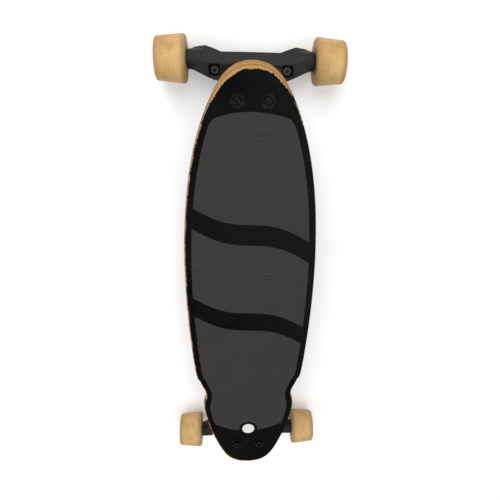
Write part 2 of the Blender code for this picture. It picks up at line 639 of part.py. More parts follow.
    def hanger(self):
        rows = [self.wing_section(0, *(value * MM for value in WING_MIDDLE))]
        for inboard, *shape in WING:
            rows.append(self.wing_section(HANGER_END - inboard * MM, *(value * MM for value in shape)))
        whole = loft(self.name("hanger"), rows, CAST, open_start=True)
        self.ride(whole)
        for end in (-1, 1):
            collar = disc("collar", COLLAR_RADIUS, HANGER_END - COLLAR_LENGTH, HANGER_END, ROOM_STEPS, CAST,
                          place(self.axle, (end, 0, 0)))
            boolean(whole, collar, "UNION")
            boolean(whole, self.arm(end), "UNION")
        boolean(whole, self.pivot_nose(), "UNION")
        half = RING_THICKNESS / 2
        clear = BUSHING_RADIUS + BUSHING_ROOM
        inside = half - RING_SINK
        for label, low, high in (("road_room", inside, NUT_ROOM), ("board_room", -NUT_ROOM, -inside)):
            boolean(whole, disc(label, clear, low, high, ROOM_STEPS, None, self.ring_frame), "DIFFERENCE")
        boolean(whole, disc("ring", RING_RADIUS, -half, half, RING_STEPS, CAST, self.ring_frame), "UNION")
        boolean(whole, disc("ring_bore", RING_BORE, -NUT_ROOM, NUT_ROOM, RING_BORE_STEPS, None,
                            self.ring_frame @ Matrix.Rotation(FACET_TURN, 4, "Z")), "DIFFERENCE")
        boolean(whole, disc("axle_bore", AXLE_RADIUS + GAP, -WHEEL_OUTSIDE, WHEEL_OUTSIDE, CORE_STEPS, None,
                            place(self.axle, (1, 0, 0))), "DIFFERENCE")
        self.buffers(whole)

    def buffers(self, whole):
        """A pocket towards each end of the hanger, with a round rubber buffer on its floor."""
        reach = BUFFER_RADIUS + POCKET_CLEARANCE
        seat = BUFFER_FLOOR + GAP
        for end, label in ((-1, "left"), (1, "right")):
            middle = self.at(end * (HANGER_END - BUFFER_INBOARD_OF_END), -BUFFER_BEHIND_AXLE, 0)
            low = middle + Vector((-reach, -reach, BUFFER_FLOOR))
            high = middle + Vector((reach, reach, RING_HEIGHT))
            boolean(whole, block("pocket", low, high, None), "DIFFERENCE")
            self.ride(disc(self.name("stop_buffer_" + label), BUFFER_RADIUS, seat, seat + BUFFER_HEIGHT,
                           PIN_STEPS, BUSH, Matrix.Translation(middle)))

    def axle_set(self):
        across = place(self.axle, (1, 0, 0))
        tip = AXLE_NUT + AXLE_NUT_LENGTH + AXLE_TIP
        self.ride(disc(self.name("axle"), AXLE_RADIUS, -tip, tip, PIN_STEPS, STEEL, across))
        for end, label in ((-1, "left"), (1, "right")):
            self.ride(hex_nut(self.name("axle_nut_" + label), AXLE_NUT_RADIUS, AXLE_RADIUS, AXLE_NUT,
                              AXLE_NUT + AXLE_NUT_LENGTH, STEEL, place(self.axle, (end, 0, 0))))

    def wheel(self, label, end):
        """Tyre, hub core and two bearings, along local Z from the middle of the board outwards."""
        out = place(self.axle, (end, 0, 0))
        soft = 0.3 * WHEEL_LIP
        core_in = WHEEL_INSIDE + CORE_INNER_RECESS
        core_out = WHEEL_OUTSIDE - CORE_OUTER_RECESS
        profile = ((WHEEL_OUTER_RADIUS - WHEEL_LIP, WHEEL_OUTSIDE),
                   (WHEEL_OUTER_RADIUS - soft, WHEEL_OUTSIDE - soft),
                   (WHEEL_OUTER_RADIUS, WHEEL_OUTSIDE - WHEEL_LIP),
                   (WHEEL_RADIUS, WHEEL_INSIDE + WHEEL_LIP), (WHEEL_RADIUS - soft, WHEEL_INSIDE + soft),
                   (WHEEL_RADIUS - WHEEL_LIP, WHEEL_INSIDE), (CORE_RADIUS + TYRE_INNER_FLARE, WHEEL_INSIDE),
                   (CORE_RADIUS + GAP, core_in), (CORE_RADIUS + GAP, core_out),
                   (CORE_RADIUS + TYRE_OUTER_FLARE, WHEEL_OUTSIDE - TYRE_OUTER_DIP))
        self.ride(turned(label + "_tyre", profile, TYRE_STEPS, URETHANE, out, ring=True))
        seat = BEARING_RADIUS + GAP
        land = BEARING_RADIUS - BEARING_LAND
        inner_stop = INNER_BEARING + BEARING_WIDTH + GAP
        outer_stop = OUTER_BEARING - GAP
        profile = ((CORE_RADIUS, core_out), (CORE_RADIUS, core_in), (seat, core_in), (seat, inner_stop),
                   (land, inner_stop), (land, outer_stop), (seat, outer_stop), (seat, core_out))
        self.ride(turned(label + "_core", profile, CORE_STEPS, CORE, out, ring=True))
        for low, place_name in ((INNER_BEARING, "inner"), (OUTER_BEARING, "outer")):
            self.ride(tube(label + "_bearing_" + place_name, BEARING_RADIUS, AXLE_RADIUS + GAP, low,
                           low + BEARING_WIDTH, CORE_STEPS, STEEL, out))


BOARD = deck()
grip()
for LABEL, SIDE in (("front", 1), ("rear", -1)):
    TRUCK = Truck(LABEL, SIDE)
    TRUCK.fasteners(BOARD)
    TRUCK.baseplate()
    TRUCK.kingpin()
    TRUCK.hanger()
    TRUCK.axle_set()
    for END_NAME, END in (("left", -1), ("right", 1)):
        TRUCK.wheel(LABEL + "_" + END_NAME, END)
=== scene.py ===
import json

import bmesh
import bpy
import numpy as np
from mathutils import Matrix, Vector


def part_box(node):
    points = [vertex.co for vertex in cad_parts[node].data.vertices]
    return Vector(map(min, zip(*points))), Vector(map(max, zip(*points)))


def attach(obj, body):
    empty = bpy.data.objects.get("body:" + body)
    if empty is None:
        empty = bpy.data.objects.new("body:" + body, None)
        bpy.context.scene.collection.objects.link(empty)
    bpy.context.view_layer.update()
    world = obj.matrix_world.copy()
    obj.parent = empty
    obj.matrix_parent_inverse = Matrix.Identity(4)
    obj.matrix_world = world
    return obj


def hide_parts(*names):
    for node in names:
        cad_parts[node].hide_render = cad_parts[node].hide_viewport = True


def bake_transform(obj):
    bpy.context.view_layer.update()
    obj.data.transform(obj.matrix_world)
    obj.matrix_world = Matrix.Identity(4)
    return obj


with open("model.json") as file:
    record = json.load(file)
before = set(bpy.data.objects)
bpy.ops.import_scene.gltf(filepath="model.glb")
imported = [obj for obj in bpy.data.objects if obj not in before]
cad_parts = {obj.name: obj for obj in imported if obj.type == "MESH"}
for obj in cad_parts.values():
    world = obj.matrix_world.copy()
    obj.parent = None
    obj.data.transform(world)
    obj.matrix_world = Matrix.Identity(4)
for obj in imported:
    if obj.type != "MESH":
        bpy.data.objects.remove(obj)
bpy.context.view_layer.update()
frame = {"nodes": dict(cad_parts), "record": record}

# The view: the lens stands over the nose, a little to the left and 0.76 m above the ground. It
# looks down and back along the board, so the nose and the front wheels look larger than the tail.
MM = 0.001
FRAME_PX = 500
FOCAL_PX = 471.5
AXIS_PX = (268.0, 240.0)
SENSOR_MM = 36
EYE = Vector((-0.0261, 0.4116, 0.7585))
PITCH = 0.4381
YAW = -0.0731
ROLL = -0.0035

# The turn's rows are the picture's right, down and forward, in axes with y to the tail and z down
turn = Matrix.Rotation(ROLL, 3, "Z") @ Matrix.Rotation(YAW, 3, "Y") @ Matrix.Rotation(PITCH, 3, "X")
right, down, ahead = [Vector((row[0], -row[1], -row[2])) for row in turn]
lens = bpy.data.cameras.new("studio_camera")
lens.sensor_width = SENSOR_MM
lens.lens = FOCAL_PX / FRAME_PX * SENSOR_MM
lens.shift_x = (FRAME_PX / 2 - AXIS_PX[0]) / FRAME_PX
lens.shift_y = (AXIS_PX[1] - FRAME_PX / 2) / FRAME_PX
lens.clip_start = 10 * MM
camera = bpy.data.objects.new("studio_camera", lens)
bpy.context.scene.collection.objects.link(camera)
camera.matrix_world = Matrix.Translation(EYE) @ Matrix((right, -down, -ahead)).transposed().to_4x4()
bpy.context.scene.camera = camera


# The studio: a matt white paper floor in a white room, under three broad soft lamps. The main lamp
# hangs ahead of the nose, so what faces the nose is bright and what faces the tail is dim.
FLOOR_REACH = 4
PAPER_CLOUD = 300 * MM
FLOOR_GLOW = 0.18
ROOM_LIGHT = 0.47
LAMPS = (("key_lamp", (-0.25, 1.7, 1.8), 1.5, 30),
         ("fill_lamp", (0.9, -0.6, 2.2), 2.2, 18),
         ("side_lamp", (-1.6, -0.5, 1.6), 1.8, 12))


def linear(code):
    """Linear colour of an sRGB hex value."""
    parts = [int(code[i:i + 2], 16) / 255 for i in (1, 3, 5)]
    return [c / 12.92 if c <= 0.04045 else ((c + 0.055) / 1.055) ** 2.4 for c in parts] + [1.0]


def put(tree, kind, sockets=None, out=0, stops=None, **settings):
    """Add a node: make its settings, link or fill its sockets, place a ramp's stops, and give one output."""
    node = tree.nodes.new("ShaderNode" + kind)
    for key, value in settings.items():
        setattr(node, key, value)
    for key, value in (sockets or {}).items():
        if isinstance(value, bpy.types.NodeSocket):
            tree.links.new(value, node.inputs[key])
        else:
            node.inputs[key].default_value = value
    if stops:
        marks = node.color_ramp.elements
        marks.remove(marks[1])
        marks[0].position = stops[0][0]
        marks[0].color = linear(stops[0][1])
        for position, code in stops[1:]:
            marks.new(position).color = linear(code)
    return node.outputs[out]


def new_finish(name, sockets):
    """New material with values on its shader; gives it, its tree, the shader and object coordinates."""
    made = bpy.data.materials.new(name)
    made.use_nodes = True
    tree = made.node_tree
    shader = tree.nodes["Principled BSDF"]
    for key, value in sockets.items():
        shader.inputs[key].default_value = value
    return made, tree, shader, put(tree, "TexCoord", out="Object")


def paper_floor():
    """Uncoated paper is matt and nearly even: a faint cloud of two whites. A little glow, seen straight
    or in a reflection, makes it white in the picture without more light on the board."""
    made, tree, shader, where = new_finish("matt_white_paper", {"Roughness": 0.9,
                                                                "Emission Color": linear("#ffffff")})
    cloud = put(tree, "TexNoise", {"Vector": where, "Scale": 1 / PAPER_CLOUD, "Detail": 3.0})
    white = put(tree, "ValToRGB", {"Fac": cloud}, stops=((0.3, "#f3f3f2"), (0.7, "#f8f8f7")))
    tree.links.new(white, shader.inputs["Base Color"])
    seen = put(tree, "LightPath", out="Is Camera Ray")
    mirrored = put(tree, "LightPath", out="Is Glossy Ray")
    shown = put(tree, "Math", {0: seen, 1: mirrored}, operation="MAXIMUM")
    glow = put(tree, "Math", {0: shown, 1: FLOOR_GLOW}, operation="MULTIPLY")
    tree.links.new(glow, shader.inputs["Emission Strength"])
    return made


floor_mesh = bpy.data.meshes.new("studio_floor")
floor_corners = [(x * FLOOR_REACH, y * FLOOR_REACH, 0) for x, y in ((-1, -1), (1, -1), (1, 1), (-1, 1))]
floor_mesh.from_pydata(floor_corners, [], [(0, 1, 2, 3)])
floor_mesh.materials.append(paper_floor())
floor = bpy.data.objects.new("studio_floor", floor_mesh)
bpy.context.scene.collection.objects.link(floor)
for lamp_name, spot, size, power in LAMPS:
    lamp = bpy.data.lights.new(lamp_name, "AREA")
    lamp.energy = power
    lamp.size = size
    stand = bpy.data.objects.new(lamp_name, lamp)
    bpy.context.scene.collection.objects.link(stand)
    stand.location = spot
    stand.rotation_euler = (-Vector(spot)).to_track_quat("-Z", "Y").to_euler()
room = bpy.data.worlds.new("white_room")
room.use_nodes = True
room.node_tree.nodes["Background"].inputs["Color"].default_value = linear("#ffffff")
room.node_tree.nodes["Background"].inputs["Strength"].default_value = ROOM_LIGHT
bpy.context.scene.world = room
bpy.context.scene.view_settings.view_transform = "Standard"


# The deck: seven maple plies glued and pressed flat, sawn to shape with the edge rounded over, then
# brushed with gloss black lacquer. Knocks have worn the nose back to the tan plies, and the rest of
# the rim is chipped, most of all on the left.
DECK_LOW, DECK_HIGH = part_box("deck")
DECK_BOTTOM = DECK_LOW[2]
DECK_TOP = DECK_HIGH[2]
PLIES = 7
EDGE_ROUND = 1.5 * MM
NOSE_CHAMFER = 8 * MM
NOSE_CHAMFER_LENGTH = 60 * MM
TAIL_WEAR_LENGTH = 50 * MM
TOP_MARGIN = 6 * MM
WEAR_CROSSOVER = 60 * MM
SPAN_STEPS = 10
# Half width and place along the board in millimetres, from the nose's tip to the tail's
STATIONS = ((0, 364), (38, 347), (70, 285), (91, 200), (101, 95), (101, -20), (93, -138), (85, -165),
            (76, -192), (80, -225), (66, -287), (38, -347), (0, -362))
# How far the bare wood reaches past the upper rim, in millimetres: at the nose's tip, at the tail's,
# and as the difference that the left side has over the middle
NOSE_BARE = 1.6
TAIL_BARE = 0.7
LEFT_BARE = 0.7
WALL_BARE = 9.0
WALL_COVER = 2.5
WELL_COVERED = -8.0
CHIP = 2.5 * MM
CHIP_REACH = 6.0
PATCH = 18 * MM
PATCH_REACH = 3.5
BARE_EDGE = 0.15
FIBRE = 0.35 * MM
FIBRE_LENGTH = 9 * MM
DUST = 40 * MM
SCRATCH = 0.9 * MM
SCRATCH_LENGTH = 30 * MM
FIBRE_RELIEF = 0.12 * MM


def rounded_loop(stations):
    """Closed Catmull-Rom curve through the stations and their mirror images, clockwise from the nose."""
    side = np.array(stations, float) * MM
    other = side[::-1] * (-1, 1)
    corners = np.concatenate([side, other[other[:, 0] < 0]])
    t = (np.arange(SPAN_STEPS) / SPAN_STEPS)[None, :, None]
    p0, p1, p2, p3 = (np.roll(corners, 1 - k, axis=0)[:, None, :] for k in range(4))
    points = 0.5 * (2 * p1 + (p2 - p0) * t + (2 * p0 - 5 * p1 + 4 * p2 - p3) * t ** 2
                    + (3 * p1 - p0 - 3 * p2 + p3) * t ** 3)
    return points.reshape(-1, 2)


def inward(loop):
    """Unit vectors square to the loop's run at each point, pointing into a clockwise loop."""
    along = np.roll(loop, -1, axis=0) - np.roll(loop, 1, axis=0)
    across = np.stack([along[:, 1], -along[:, 0]], axis=1)
    return across / np.linalg.norm(across, axis=1, keepdims=True)


def mesh_from_grid(name, grid, closed=False, mark=None, values=None):
    """Skin over a grid of points (row, column, xyz): quads between neighbours, with the last column
    joined to the first, and the last row too if closed. Points that meet are merged."""
    rows, columns = grid.shape[:2]
    v = np.arange(rows if closed else rows - 1)[:, None]
    u = np.arange(columns)[None, :]
    v2 = (v + 1) % rows
    u2 = (u + 1) % columns
    faces = np.stack([v * columns + u, v * columns + u2, v2 * columns + u2, v2 * columns + u], axis=-1)
    mesh = bpy.data.meshes.new(name)
    mesh.from_pydata(grid.reshape(-1, 3).tolist(), [], faces.reshape(-1, 4).tolist())
    if mark:
        layer = mesh.attributes.new(mark, "FLOAT", "POINT")
        layer.data.foreach_set("value", values.reshape(-1).astype(np.float32))
    shape = bmesh.new()
    shape.from_mesh(mesh)
    bmesh.ops.remove_doubles(shape, verts=shape.verts, dist=0.02 * MM)
    bmesh.ops.recalc_face_normals(shape, faces=shape.faces)
    shape.to_mesh(mesh)
    shape.free()
    mesh.polygons.foreach_set("use_smooth", [True] * len(mesh.polygons))
    mesh.set_sharp_from_angle(angle=np.radians(35))
    return mesh


def show(mesh, finish, body, slot, *stands_for):
    """Put a mesh in the scene as a piece of the same name that rides on a body, if one is named."""
    piece = bpy.data.objects.new(mesh.name, mesh)
    bpy.context.scene.collection.objects.link(piece)
    mesh.materials.clear()
    mesh.materials.append(finish)
    if body:
        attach(piece, body)
    if stands_for:
        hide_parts(*stands_for)
    return piece


def deck_laminate():
    """One section at each point of the outline. It runs from the underside's middle line to the rim,
    round the lower edge on a quarter circle, up the worn edge on a power curve, and over the top to
    the middle line. The mark beside each point says how far it lies inside the bare wood."""
    loop = rounded_loop(STATIONS)
    into = inward(loop)
    near_nose = np.clip(1 - (loop[:, 1].max() - loop[:, 1]) / NOSE_CHAMFER_LENGTH, 0, 1)
    near_tail = np.clip(1 - (loop[:, 1] - loop[:, 1].min()) / TAIL_WEAR_LENGTH, 0, 1)
    leftness = np.clip(-2 * loop[:, 0] / WEAR_CROSSOVER, -1, 1)
    chamfer = (EDGE_ROUND + (NOSE_CHAMFER - EDGE_ROUND) * near_nose)[:, None]
    rim_bare = NOSE_BARE * near_nose + TAIL_BARE * near_tail + LEFT_BARE * leftness
    foot_bare = rim_bare - WALL_COVER + WALL_BARE * near_nose
    rows = []
    bare = []

    def add_row(points, height, depth):
        rows.append(np.c_[points, np.full(len(loop), height)])
        bare.append(depth + np.zeros(len(loop)))

    lower = loop + into * EDGE_ROUND
    for share in (0.0, 0.35, 0.7, 0.95):
        add_row(lower * (share, 1), DECK_BOTTOM, WELL_COVERED)
    for angle in np.linspace(0, np.pi / 2, 5):
        points = loop + into * EDGE_ROUND * (1 - np.sin(angle))
        add_row(points, DECK_BOTTOM + EDGE_ROUND * (1 - np.cos(angle)), foot_bare - 2 * np.cos(angle))
    wall_foot = DECK_BOTTOM + 2 * EDGE_ROUND
    for step in np.linspace(0, 1, 9):
        height = wall_foot + (DECK_TOP - wall_foot) * (1 - (1 - step) ** 1.25)
        add_row(loop + into * chamfer * step ** 1.6, height, foot_bare + (rim_bare - foot_bare) * step)
    upper = loop + into * (chamfer + TOP_MARGIN)
    add_row(upper, DECK_TOP, rim_bare - TOP_MARGIN / MM)
    for share in (0.7, 0.35, 0.0):
        add_row(upper * (share, 1), DECK_TOP, rim_bare - TOP_MARGIN / MM)
    return mesh_from_grid("deck_laminate", np.array(rows), mark="bare", values=np.array(bare))


def lacquered_maple():
    """Gloss lacquer on maple: a deep black with clear reflections, dulled by dust and hairline scratches.
    Where it is chipped the plies show, each 1.6 mm thick, alternately lighter and darker."""
    made, tree, shader, where = new_finish("black_lacquered_maple", {"Specular IOR Level": 0.05})
    depth = put(tree, "Attribute", out="Fac", attribute_name="bare")
    chips = put(tree, "TexNoise", {"Vector": where, "Scale": 1 / CHIP, "Detail": 4.0, "Roughness": 0.65})
    patches = put(tree, "TexNoise", {"Vector": where, "Scale": 1 / PATCH, "Detail": 3.0})
    ragged = put(tree, "Math", {0: chips, 1: CHIP_REACH, 2: depth}, operation="MULTIPLY_ADD")
    ragged = put(tree, "Math", {0: patches, 1: PATCH_REACH, 2: ragged}, operation="MULTIPLY_ADD")
    level = (CHIP_REACH + PATCH_REACH) / 2
    bare = put(tree, "MapRange", {"Value": ragged, "From Min": level - BARE_EDGE,
                                  "From Max": level + BARE_EDGE})
    height = put(tree, "SeparateXYZ", {0: where}, out="Z")
    plies = put(tree, "Math", {0: height, 1: PLIES / (DECK_TOP - DECK_BOTTOM)}, operation="MULTIPLY")
    layer = put(tree, "Math", {0: plies, 1: 1.0}, operation="PINGPONG")
    tan = put(tree, "ValToRGB", {"Fac": layer},
              stops=((0.15, "#80603d"), (0.5, "#ab8354"), (0.85, "#c09868")))
    run = put(tree, "Mapping", {"Vector": where, "Scale": (1 / FIBRE, 1 / FIBRE_LENGTH, 1 / FIBRE)})
    fibre = put(tree, "TexNoise", {"Vector": run, "Scale": 1.0, "Detail": 3.0})
    wood = put(tree, "Mix", {0: fibre, 6: tan, 7: linear("#a67a49")}, out=2, data_type="RGBA")
    dust = put(tree, "TexNoise", {"Vector": where, "Scale": 1 / DUST, "Detail": 6.0, "Roughness": 0.65})
    black = put(tree, "ValToRGB", {"Fac": dust},
                stops=((0.35, "#050505"), (0.62, "#0a0a0a"), (0.78, "#181614")))
    colour = put(tree, "Mix", {0: bare, 6: black, 7: wood}, out=2, data_type="RGBA")
    tree.links.new(colour, shader.inputs["Base Color"])
    lines = put(tree, "Mapping", {"Vector": where, "Rotation": (0, 0, 0.6),
                                  "Scale": (1 / SCRATCH_LENGTH, 1 / SCRATCH, 1 / SCRATCH_LENGTH)})
    hairline = put(tree, "TexNoise", {"Vector": lines, "Scale": 1.0, "Detail": 2.0})
    hairline = put(tree, "MapRange", {"Value": hairline, "From Min": 0.62, "From Max": 0.7, "To Max": 0.2})
    dull = put(tree, "MapRange", {"Value": dust, "From Min": 0.3, "From Max": 0.8, "To Min": 0.14,
                                  "To Max": 0.4})
    rough = put(tree, "Math", {0: hairline, 1: dull}, operation="ADD")
    raw = put(tree, "Math", {0: bare, 1: 0.65}, operation="MULTIPLY")
    rough = put(tree, "Math", {0: rough, 1: raw}, operation="MAXIMUM")
    tree.links.new(rough, shader.inputs["Roughness"])
    relief = put(tree, "Math", {0: fibre, 1: bare}, operation="SUBTRACT")
    skin = put(tree, "Bump", {"Height": relief, "Distance": FIBRE_RELIEF, "Strength": 0.4})
    tree.links.new(skin, shader.inputs["Normal"])
    return made


show(deck_laminate(), lacquered_maple(), "board", "deck", "deck")


# The grip: three sheets of dark grey rubber with a fine grit, stuck down and parted by two slanted
# bands of bare lacquer. Shoes have left pale scuffs along and across it.
GRIT = 0.8 * MM
GRIT_HEIGHT = 0.35 * MM
BLOTCH = 55 * MM
SCUFF = 3.5 * MM
SCUFF_LENGTH = 70 * MM


def grip_rubber():
    """Rubber with mineral grit: matt, with no highlight. The real grain of about 0.3 mm is drawn 0.8 mm
    across, as coarse as it needs to be to show."""
    made, tree, shader, where = new_finish("gritted_grip_rubber", {"Specular IOR Level": 0.12})
    grit = put(tree, "TexNoise", {"Vector": where, "Scale": 1 / GRIT, "Detail": 2.0})
    grain = put(tree, "ValToRGB", {"Fac": grit}, stops=((0.3, "#272625"), (0.7, "#42403e")))
    blotch = put(tree, "TexNoise", {"Vector": where, "Scale": 1 / BLOTCH, "Detail": 5.0, "Roughness": 0.6})
    base = put(tree, "Mix", {0: blotch, 6: grain, 7: linear("#373533")}, out=2, data_type="RGBA")
    lines = put(tree, "Mapping", {"Vector": where, "Rotation": (0, 0, 0.7),
                                  "Scale": (1 / SCUFF_LENGTH, 1 / SCUFF, 1 / SCUFF_LENGTH)})
    scuff = put(tree, "TexNoise", {"Vector": lines, "Scale": 1.0, "Detail": 3.0})
    scuff = put(tree, "MapRange", {"Value": scuff, "From Min": 0.66, "From Max": 0.8, "To Max": 0.3})
    colour = put(tree, "Mix", {0: scuff, 6: base, 7: linear("#6b6763")}, out=2, data_type="RGBA")
    tree.links.new(colour, shader.inputs["Base Color"])
    rough = put(tree, "MapRange", {"Value": grit, "From Min": 0.2, "From Max": 0.8, "To Min": 0.8,
                                   "To Max": 0.97})
    tree.links.new(rough, shader.inputs["Roughness"])
    skin = put(tree, "Bump", {"Height": grit, "Distance": GRIT_HEIGHT, "Strength": 0.7})
    tree.links.new(skin, shader.inputs["Normal"])
    return made


def dress(part, finish):
    """Give a part of the frame its finish, with its shape left as it is."""
    slots = frame["nodes"][part].data.materials
    slots.clear()
    slots.append(finish)


rubber = grip_rubber()
for part in ("grip_front", "grip_middle", "grip_rear"):
    dress(part, rubber)


# The badge: a plain steel disc under white enamel, let into the notch of the rear grip sheet and
# glued to the deck. Its glaze is dull and chipped in specks.
SPECK = 3.3 * MM


def white_enamel():
    """Stoved enamel: an even white with a soft gloss, and grey specks where grit has pitted it."""
    made, tree, shader, where = new_finish("white_enamel", {"Roughness": 0.35})
    specks = put(tree, "TexNoise", {"Vector": where, "Scale": 1 / SPECK, "Detail": 4.0, "Roughness": 0.7})
    colour = put(tree, "ValToRGB", {"Fac": specks},
                 stops=((0.35, "#e4e3df"), (0.62, "#d6d4ce"), (0.72, "#8d8a84")))
    tree.links.new(colour, shader.inputs["Base Color"])
    return made


dress("badge_disc", white_enamel())


# The castings: hangers and baseplates of cast aluminium under matt black paint. The mould gives them
# soft edges and a pebbled skin. The baseplates are bolted on, and each hanger swings on its kingpin.
VOXEL = 1.1 * MM
AXLE_CORE_RADIUS = 4.6 * MM
AXLE_CORE_STEPS = 32
OPEN_BORE = 3 * MM
CAST_GRAIN = 1.4 * MM
CAST_RELIEF = 0.15 * MM
CAST_DUST = 22 * MM


def painted_casting():
    """Matt paint on a sand-cast skin: dark grey with a broad soft sheen, dusty in patches."""
    made, tree, shader, where = new_finish("matt_black_painted_casting", {"Specular IOR Level": 0.3})
    dust = put(tree, "TexNoise", {"Vector": where, "Scale": 1 / CAST_DUST, "Detail": 5.0,
                                  "Roughness": 0.65})
    colour = put(tree, "ValToRGB", {"Fac": dust},
                 stops=((0.3, "#121213"), (0.6, "#1c1c1d"), (0.78, "#302e2b")))
    tree.links.new(colour, shader.inputs["Base Color"])
    rough = put(tree, "MapRange", {"Value": dust, "From Min": 0.2, "From Max": 0.8, "To Min": 0.42,
                                   "To Max": 0.65})
    tree.links.new(rough, shader.inputs["Roughness"])
    grain = put(tree, "TexNoise", {"Vector": where, "Scale": 1 / CAST_GRAIN, "Detail": 3.0})
    skin = put(tree, "Bump", {"Height": grain, "Distance": CAST_RELIEF, "Strength": 0.5})
    tree.links.new(skin, shader.inputs["Normal"])
    return made


def cast_piece(part, finish, body, axle=None):
    """The part's solid with its edges rounded: remeshed in small voxels, then smoothed. Where an axle
    runs through, its bore is filled but for its ends, because the wall in front of it is thinner than
    a voxel."""
    mesh = frame["nodes"][part].data.copy()
    mesh.name = part + "_casting"
    shape = bmesh.new()
    shape.from_mesh(mesh)
    bmesh.ops.remove_doubles(shape, verts=shape.verts, dist=0.01 * MM)
    if axle:
        axle_low, axle_high = (Vector(corner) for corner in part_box(axle))
        part_low, part_high = (Vector(corner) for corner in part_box(part))
        place = Matrix.Translation((axle_low + axle_high) / 2) @ Matrix.Rotation(np.pi / 2, 4, "Y")
        bmesh.ops.create_cone(shape, cap_ends=True, segments=AXLE_CORE_STEPS, radius1=AXLE_CORE_RADIUS,
                              radius2=AXLE_CORE_RADIUS, depth=part_high.x - part_low.x - 2 * OPEN_BORE,
                              matrix=place)
    shape.to_mesh(mesh)
    shape.free()
    piece = show(mesh, finish, body, "casting", part)
    fine = piece.modifiers.new("voxels", "REMESH")
    fine.mode = "VOXEL"
    fine.voxel_size = VOXEL
    fine.use_smooth_shade = True
    soft = piece.modifiers.new("softened_edges", "SMOOTH")
    soft.factor = 0.5
    soft.iterations = 3


casting = painted_casting()
for truck in ("front", "rear"):
    cast_piece(truck + "_baseplate", casting, "board")
    cast_piece(truck + "_hanger", casting, truck + "_hanger_body", truck + "_axle")


# The mouldings: riser pads and pivot cups of black plastic, clamped under the deck or pressed into
# the baseplates, stop buffers of brown urethane in the hangers' pockets, and hub cores of tan plastic.
MOULDED_CLOUD = 5 * MM
MOULDED_RELIEF = 0.08 * MM


def moulded(name, low, high, rough):
    """Moulded polymer: nearly one colour, with a faint cloud in it and a skin that breaks up the gloss."""
    made, tree, shader, where = new_finish(name, {"Specular IOR Level": 0.45})
    cloud = put(tree, "TexNoise", {"Vector": where, "Scale": 1 / MOULDED_CLOUD, "Detail": 4.0})
    colour = put(tree, "ValToRGB", {"Fac": cloud}, stops=((0.3, low), (0.7, high)))
    tree.links.new(colour, shader.inputs["Base Color"])
    gloss = put(tree, "MapRange", {"Value": cloud, "From Min": 0.2, "From Max": 0.8, "To Min": rough,
                                   "To Max": rough + 0.15})
    tree.links.new(gloss, shader.inputs["Roughness"])
    skin = put(tree, "Bump", {"Height": cloud, "Distance": MOULDED_RELIEF, "Strength": 0.4})
    tree.links.new(skin, shader.inputs["Normal"])
    return made


black_plastic = moulded("black_moulded_polyethylene", "#111111", "#1d1c1c", 0.5)
brown_urethane = moulded("brown_cast_urethane", "#2e1a14", "#503429", 0.4)
hub_plastic = moulded("tan_moulded_nylon", "#5c4d37", "#7c6b4d", 0.5)
for truck in ("front", "rear"):
    for part in ("riser_pad", "pivot_cup"):
        dress(truck + "_" + part, black_plastic)
    for part in ("stop_buffer_left", "stop_buffer_right"):
        dress(truck + "_" + part, brown_urethane)
    for hand in ("left", "right"):
        dress(truck + "_" + hand + "_core", hub_plastic)


# The steel: zinc-plated kingpins, axles, nuts and bearings, with a cup washer against each bushing,
# a speed washer on both sides of each wheel, and a black-oxide screw through each stop buffer.
PLATING_CLOUD = 6 * MM
PLATING_RELIEF = 0.05 * MM
SHAFT_CLEARANCE = 0.2 * MM
FASTENER_STEPS = 48
AXLE_RADIUS = 3.95 * MM
KINGPIN_RADIUS = 4.7 * MM
WASHER_SEAT = 0.3 * MM
SPEED_WASHER_THICKNESS = 1.0 * MM
SPEED_WASHER_RADIUS = 5.8 * MM
# Cup washers by their distances from the ring's middle along the kingpin, up to the board's side and
# down to the road's: inner face, outer face, radius, and the rim's reach over the bushing
BOARD_CUP = (20.2 * MM, 21.3 * MM, 13.7 * MM, 1.3 * MM)
ROAD_CUP = (15.8 * MM, 17.2 * MM, 9.6 * MM, 0.0)
CUP_RIM = 0.8 * MM
SCREW_HEAD_RADIUS = 2.4 * MM
SCREW_HEAD_HEIGHT = 1.3 * MM


def plated(name, low, high, rough):
    """Plated steel: a true metal with a cloudy grain from the bath, bright where hands and keys rub it."""
    made, tree, shader, where = new_finish(name, {"Metallic": 1.0})
    cloud = put(tree, "TexNoise", {"Vector": where, "Scale": 1 / PLATING_CLOUD, "Detail": 4.0,
                                   "Roughness": 0.6})
    colour = put(tree, "ValToRGB", {"Fac": cloud}, stops=((0.3, low), (0.7, high)))
    tree.links.new(colour, shader.inputs["Base Color"])
    gloss = put(tree, "MapRange", {"Value": cloud, "From Min": 0.2, "From Max": 0.8, "To Min": rough,
                                   "To Max": rough + 0.18})
    tree.links.new(gloss, shader.inputs["Roughness"])
    skin = put(tree, "Bump", {"Height": cloud, "Distance": PLATING_RELIEF, "Strength": 0.3})
    tree.links.new(skin, shader.inputs["Normal"])
    return made


